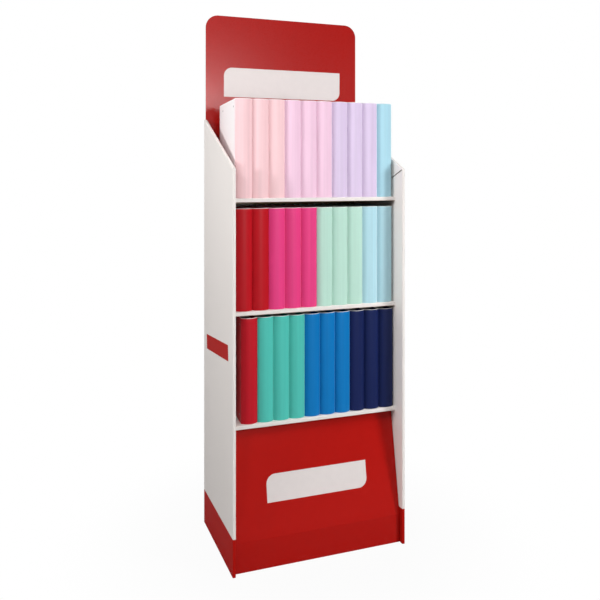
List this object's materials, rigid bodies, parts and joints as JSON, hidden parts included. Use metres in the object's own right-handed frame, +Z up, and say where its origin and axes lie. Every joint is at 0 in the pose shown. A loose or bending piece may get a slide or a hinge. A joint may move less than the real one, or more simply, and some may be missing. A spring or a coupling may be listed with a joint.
{
  "type": "floor display stand",
  "caption": "Tall open-fronted floor display of folded board with sloping double-walled sides, a header card, shelves of upright ring binders and a leaning base panel.",
  "frame": {"origin": "middle of the footprint, on the floor", "axes": "+Z up; the open front with the shelves faces -Y; +X runs to the right as seen from the front"},
  "size_m": [0.6, 0.392, 1.821],
  "materials": {
    "print_white": "matte",
    "print_red": "satin",
    "raw_board": "matte",
    "cover_red": "satin",
    "cover_teal": "satin",
    "cover_blue": "satin",
    "cover_navy": "satin",
    "cover_crimson": "satin",
    "cover_magenta": "satin",
    "cover_mint": "satin",
    "cover_sky": "satin",
    "cover_salmon": "satin",
    "cover_pink": "satin",
    "cover_lilac": "satin",
    "cover_aqua": "satin",
    "ring_steel": "polished",
    "rivet_metal": "satin"
  },
  "bodies": {
    "root": {"body_wrap": "print_white", "header_card": "print_red", "base_panel": "print_red", "base_divider_cross": "raw_board", "base_divider_left": "raw_board", "base_divider_right": "raw_board", "shelf_bottom": "print_white", "shelf_middle": "print_white", "shelf_top": "print_white", "binder_bottom_01": "cover_red", "binder_bottom_02": "cover_teal", "binder_bottom_03": "cover_teal", "binder_bottom_04": "cover_teal", "binder_bottom_05": "cover_blue", "binder_bottom_06": "cover_blue", "binder_bottom_07": "cover_blue", "binder_bottom_08": "cover_navy", "binder_bottom_09": "cover_navy", "binder_bottom_10": "cover_navy", "binder_middle_01": "cover_crimson", "binder_middle_02": "cover_crimson", "binder_middle_03": "cover_magenta", "binder_middle_04": "cover_magenta", "binder_middle_05": "cover_magenta", "binder_middle_06": "cover_mint", "binder_middle_07": "cover_mint", "binder_middle_08": "cover_mint", "binder_middle_09": "cover_sky", "binder_middle_10": "cover_sky", "binder_top_01": "cover_salmon", "binder_top_02": "cover_salmon", "binder_top_03": "cover_salmon", "binder_top_04": "cover_pink", "binder_top_05": "cover_pink", "binder_top_06": "cover_pink", "binder_top_07": "cover_lilac", "binder_top_08": "cover_lilac", "binder_top_09": "cover_lilac", "binder_top_10": "cover_aqua", "ring_mechanisms_bottom": "ring_steel", "ring_mechanisms_middle": "ring_steel", "ring_mechanisms_top": "ring_steel", "rivets_bottom": "rivet_metal", "rivets_middle": "rivet_metal", "rivets_top": "rivet_metal"}
  },
  "joints": []
}
